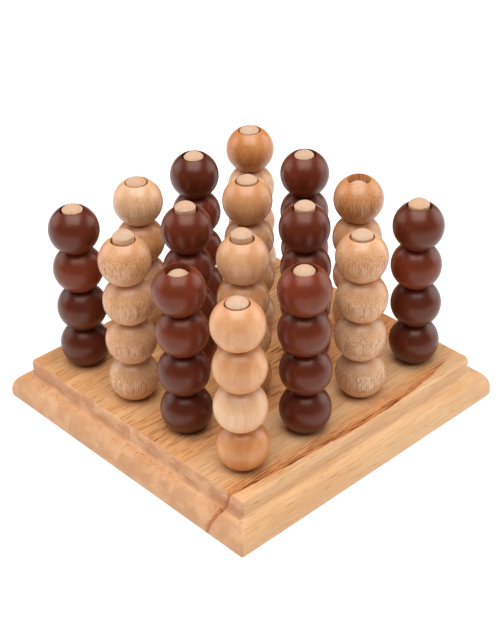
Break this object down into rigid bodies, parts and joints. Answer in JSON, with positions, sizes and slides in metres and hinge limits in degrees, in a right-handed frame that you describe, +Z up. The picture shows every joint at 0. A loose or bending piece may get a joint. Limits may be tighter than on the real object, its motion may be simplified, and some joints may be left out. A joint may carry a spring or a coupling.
{
  "type": "four in a row peg game",
  "caption": "Tabletop line-up game: a square moulded wooden base with a grid of domed dowel pegs that hold stacks of bored beads, natural and dark stained, which lift off from the top.",
  "frame": {"origin": "middle of the underside of the base, on the surface that it stands on", "axes": "+Z up along the pegs; +X along the grain of the base strips, from column 1 to column 4; +Y from the front row a to the back row d"},
  "size_m": [0.1776, 0.1776, 0.1144],
  "materials": {
    "base_wood": "satin clear lacquer",
    "peg_wood": "sanded, thin clear lacquer",
    "natural_bead": "satin clear lacquer",
    "stained_bead": "dark stain under satin lacquer"
  },
  "bodies": {
    "base": {"base_front_strip": "base_wood", "base_middle_strips": "base_wood", "base_back_strip": "base_wood", "pegs": "peg_wood"},
    "a1_bottom": {"bead_a1_bottom": "natural_bead"},
    "a1_second": {"bead_a1_second": "natural_bead"},
    "a1_third": {"bead_a1_third": "natural_bead"},
    "a1_top": {"bead_a1_top": "natural_bead"},
    "a2_bottom": {"bead_a2_bottom": "stained_bead"},
    "a2_second": {"bead_a2_second": "stained_bead"},
    "a2_third": {"bead_a2_third": "stained_bead"},
    "a2_top": {"bead_a2_top": "stained_bead"},
    "a3_bottom": {"bead_a3_bottom": "natural_bead"},
    "a3_second": {"bead_a3_second": "natural_bead"},
    "a3_third": {"bead_a3_third": "natural_bead"},
    "a3_top": {"bead_a3_top": "natural_bead"},
    "a4_bottom": {"bead_a4_bottom": "stained_bead"},
    "a4_second": {"bead_a4_second": "stained_bead"},
    "a4_third": {"bead_a4_third": "stained_bead"},
    "a4_top": {"bead_a4_top": "stained_bead"},
    "b1_bottom": {"bead_b1_bottom": "stained_bead"},
    "b1_second": {"bead_b1_second": "stained_bead"},
    "b1_third": {"bead_b1_third": "stained_bead"},
    "b1_top": {"bead_b1_top": "stained_bead"},
    "b2_lower_three": {"beads_b2_lower_three": "natural_bead"},
    "b2_top": {"bead_b2_top": "natural_bead"},
    "b3_lower_three": {"beads_b3_lower_three": "stained_bead"},
    "b3_top": {"bead_b3_top": "stained_bead"},
    "b4_bottom": {"bead_b4_bottom": "natural_bead"},
    "b4_second": {"bead_b4_second": "natural_bead"},
    "b4_third": {"bead_b4_third": "natural_bead"},
    "b4_top": {"bead_b4_top": "natural_bead"},
    "c1_bottom": {"bead_c1_bottom": "natural_bead"},
    "c1_second": {"bead_c1_second": "natural_bead"},
    "c1_third": {"bead_c1_third": "natural_bead"},
    "c1_top": {"bead_c1_top": "natural_bead"},
    "c2_lower_three": {"beads_c2_lower_three": "stained_bead"},
    "c2_top": {"bead_c2_top": "stained_bead"},
    "c3_lower_three": {"beads_c3_lower_three": "natural_bead"},
    "c3_top": {"bead_c3_top": "natural_bead"},
    "c4_bottom": {"bead_c4_bottom": "stained_bead"},
    "c4_second": {"bead_c4_second": "stained_bead"},
    "c4_third": {"bead_c4_third": "stained_bead"},
    "c4_top": {"bead_c4_top": "stained_bead"},
    "d1_bottom": {"bead_d1_bottom": "stained_bead"},
    "d1_second": {"bead_d1_second": "stained_bead"},
    "d1_third": {"bead_d1_third": "stained_bead"},
    "d1_top": {"bead_d1_top": "stained_bead"},
    "d2_bottom": {"bead_d2_bottom": "natural_bead"},
    "d2_second": {"bead_d2_second": "natural_bead"},
    "d2_third": {"bead_d2_third": "natural_bead"},
    "d2_top": {"bead_d2_top": "natural_bead"},
    "d3_bottom": {"bead_d3_bottom": "stained_bead"},
    "d3_second": {"bead_d3_second": "stained_bead"},
    "d3_third": {"bead_d3_third": "stained_bead"},
    "d3_top": {"bead_d3_top": "stained_bead"},
    "d4_bottom": {"bead_d4_bottom": "natural_bead"},
    "d4_second": {"bead_d4_second": "natural_bead"},
    "d4_third": {"bead_d4_third": "natural_bead"},
    "d4_top": {"bead_d4_top": "natural_bead"}
  },
  "joints": [
    {"name": "lift_a1_bottom", "type": "slide", "parent": "base", "child": "a1_bottom", "axis": [0, 0, 1], "range_m": [0, 0.096]},
    {"name": "lift_a1_second", "type": "slide", "parent": "a1_bottom", "child": "a1_second", "axis": [0, 0, 1], "range_m": [0, 0.074]},
    {"name": "lift_a1_third", "type": "slide", "parent": "a1_second", "child": "a1_third", "axis": [0, 0, 1], "range_m": [0, 0.052]},
    {"name": "lift_a1_top", "type": "slide", "parent": "a1_third", "child": "a1_top", "axis": [0, 0, 1], "range_m": [0, 0.03]},
    {"name": "lift_a2_bottom", "type": "slide", "parent": "base", "child": "a2_bottom", "axis": [0, 0, 1], "range_m": [0, 0.096]},
    {"name": "lift_a2_second", "type": "slide", "parent": "a2_bottom", "child": "a2_second", "axis": [0, 0, 1], "range_m": [0, 0.074]},
    {"name": "lift_a2_third", "type": "slide", "parent": "a2_second", "child": "a2_third", "axis": [0, 0, 1], "range_m": [0, 0.052]},
    {"name": "lift_a2_top", "type": "slide", "parent": "a2_third", "child": "a2_top", "axis": [0, 0, 1], "range_m": [0, 0.03]},
    {"name": "lift_a3_bottom", "type": "slide", "parent": "base", "child": "a3_bottom", "axis": [0, 0, 1], "range_m": [0, 0.096]},
    {"name": "lift_a3_second", "type": "slide", "parent": "a3_bottom", "child": "a3_second", "axis": [0, 0, 1], "range_m": [0, 0.074]},
    {"name": "lift_a3_third", "type": "slide", "parent": "a3_second", "child": "a3_third", "axis": [0, 0, 1], "range_m": [0, 0.052]},
    {"name": "lift_a3_top", "type": "slide", "parent": "a3_third", "child": "a3_top", "axis": [0, 0, 1], "range_m": [0, 0.03]},
    {"name": "lift_a4_bottom", "type": "slide", "parent": "base", "child": "a4_bottom", "axis": [0, 0, 1], "range_m": [0, 0.096]},
    {"name": "lift_a4_second", "type": "slide", "parent": "a4_bottom", "child": "a4_second", "axis": [0, 0, 1], "range_m": [0, 0.074]},
    {"name": "lift_a4_third", "type": "slide", "parent": "a4_second", "child": "a4_third", "axis": [0, 0, 1], "range_m": [0, 0.052]},
    {"name": "lift_a4_top", "type": "slide", "parent": "a4_third", "child": "a4_top", "axis": [0, 0, 1], "range_m": [0, 0.03]},
    {"name": "lift_b1_bottom", "type": "slide", "parent": "base", "child": "b1_bottom", "axis": [0, 0, 1], "range_m": [0, 0.096]},
    {"name": "lift_b1_second", "type": "slide", "parent": "b1_bottom", "child": "b1_second", "axis": [0, 0, 1], "range_m": [0, 0.074]},
    {"name": "lift_b1_third", "type": "slide", "parent": "b1_second", "child": "b1_third", "axis": [0, 0, 1], "range_m": [0, 0.052]},
    {"name": "lift_b1_top", "type": "slide", "parent": "b1_third", "child": "b1_top", "axis": [0, 0, 1], "range_m": [0, 0.03]},
    {"name": "lift_b2_lower_three", "type": "slide", "parent": "base", "child": "b2_lower_three", "axis": [0, 0, 1], "range_m": [0, 0.096]},
    {"name": "lift_b2_top", "type": "slide", "parent": "b2_lower_three", "child": "b2_top", "axis": [0, 0, 1], "range_m": [0, 0.03]},
    {"name": "lift_b3_lower_three", "type": "slide", "parent": "base", "child": "b3_lower_three", "axis": [0, 0, 1], "range_m": [0, 0.096]},
    {"name": "lift_b3_top", "type": "slide", "parent": "b3_lower_three", "child": "b3_top", "axis": [0, 0, 1], "range_m": [0, 0.03]},
    {"name": "lift_b4_bottom", "type": "slide", "parent": "base", "child": "b4_bottom", "axis": [0, 0, 1], "range_m": [0, 0.096]},
    {"name": "lift_b4_second", "type": "slide", "parent": "b4_bottom", "child": "b4_second", "axis": [0, 0, 1], "range_m": [0, 0.074]},
    {"name": "lift_b4_third", "type": "slide", "parent": "b4_second", "child": "b4_third", "axis": [0, 0, 1], "range_m": [0, 0.052]},
    {"name": "lift_b4_top", "type": "slide", "parent": "b4_third", "child": "b4_top", "axis": [0, 0, 1], "range_m": [0, 0.03]},
    {"name": "lift_c1_bottom", "type": "slide", "parent": "base", "child": "c1_bottom", "axis": [0, 0, 1], "range_m": [0, 0.096]},
    {"name": "lift_c1_second", "type": "slide", "parent": "c1_bottom", "child": "c1_second", "axis": [0, 0, 1], "range_m": [0, 0.074]},
    {"name": "lift_c1_third", "type": "slide", "parent": "c1_second", "child": "c1_third", "axis": [0, 0, 1], "range_m": [0, 0.052]},
    {"name": "lift_c1_top", "type": "slide", "parent": "c1_third", "child": "c1_top", "axis": [0, 0, 1], "range_m": [0, 0.03]},
    {"name": "lift_c2_lower_three", "type": "slide", "parent": "base", "child": "c2_lower_three", "axis": [0, 0, 1], "range_m": [0, 0.096]},
    {"name": "lift_c2_top", "type": "slide", "parent": "c2_lower_three", "child": "c2_top", "axis": [0, 0, 1], "range_m": [0, 0.03]},
    {"name": "lift_c3_lower_three", "type": "slide", "parent": "base", "child": "c3_lower_three", "axis": [0, 0, 1], "range_m": [0, 0.096]},
    {"name": "lift_c3_top", "type": "slide", "parent": "c3_lower_three", "child": "c3_top", "axis": [0, 0, 1], "range_m": [0, 0.03]},
    {"name": "lift_c4_bottom", "type": "slide", "parent": "base", "child": "c4_bottom", "axis": [0, 0, 1], "range_m": [0, 0.096]},
    {"name": "lift_c4_second", "type": "slide", "parent": "c4_bottom", "child": "c4_second", "axis": [0, 0, 1], "range_m": [0, 0.074]},
    {"name": "lift_c4_third", "type": "slide", "parent": "c4_second", "child": "c4_third", "axis": [0, 0, 1], "range_m": [0, 0.052]},
    {"name": "lift_c4_top", "type": "slide", "parent": "c4_third", "child": "c4_top", "axis": [0, 0, 1], "range_m": [0, 0.03]},
    {"name": "lift_d1_bottom", "type": "slide", "parent": "base", "child": "d1_bottom", "axis": [0, 0, 1], "range_m": [0, 0.096]},
    {"name": "lift_d1_second", "type": "slide", "parent": "d1_bottom", "child": "d1_second", "axis": [0, 0, 1], "range_m": [0, 0.074]},
    {"name": "lift_d1_third", "type": "slide", "parent": "d1_second", "child": "d1_third", "axis": [0, 0, 1], "range_m": [0, 0.052]},
    {"name": "lift_d1_top", "type": "slide", "parent": "d1_third", "child": "d1_top", "axis": [0, 0, 1], "range_m": [0, 0.03]},
    {"name": "lift_d2_bottom", "type": "slide", "parent": "base", "child": "d2_bottom", "axis": [0, 0, 1], "range_m": [0, 0.096]},
    {"name": "lift_d2_second", "type": "slide", "parent": "d2_bottom", "child": "d2_second", "axis": [0, 0, 1], "range_m": [0, 0.074]},
    {"name": "lift_d2_third", "type": "slide", "parent": "d2_second", "child": "d2_third", "axis": [0, 0, 1], "range_m": [0, 0.052]},
    {"name": "lift_d2_top", "type": "slide", "parent": "d2_third", "child": "d2_top", "axis": [0, 0, 1], "range_m": [0, 0.03]},
    {"name": "lift_d3_bottom", "type": "slide", "parent": "base", "child": "d3_bottom", "axis": [0, 0, 1], "range_m": [0, 0.096]},
    {"name": "lift_d3_second", "type": "slide", "parent": "d3_bottom", "child": "d3_second", "axis": [0, 0, 1], "range_m": [0, 0.074]},
    {"name": "lift_d3_third", "type": "slide", "parent": "d3_second", "child": "d3_third", "axis": [0, 0, 1], "range_m": [0, 0.052]},
    {"name": "lift_d3_top", "type": "slide", "parent": "d3_third", "child": "d3_top", "axis": [0, 0, 1], "range_m": [0, 0.03]},
    {"name": "lift_d4_bottom", "type": "slide", "parent": "base", "child": "d4_bottom", "axis": [0, 0, 1], "range_m": [0, 0.096]},
    {"name": "lift_d4_second", "type": "slide", "parent": "d4_bottom", "child": "d4_second", "axis": [0, 0, 1], "range_m": [0, 0.074]},
    {"name": "lift_d4_third", "type": "slide", "parent": "d4_second", "child": "d4_third", "axis": [0, 0, 1], "range_m": [0, 0.052]},
    {"name": "lift_d4_top", "type": "slide", "parent": "d4_third", "child": "d4_top", "axis": [0, 0, 1], "range_m": [0, 0.03]}
  ]
}
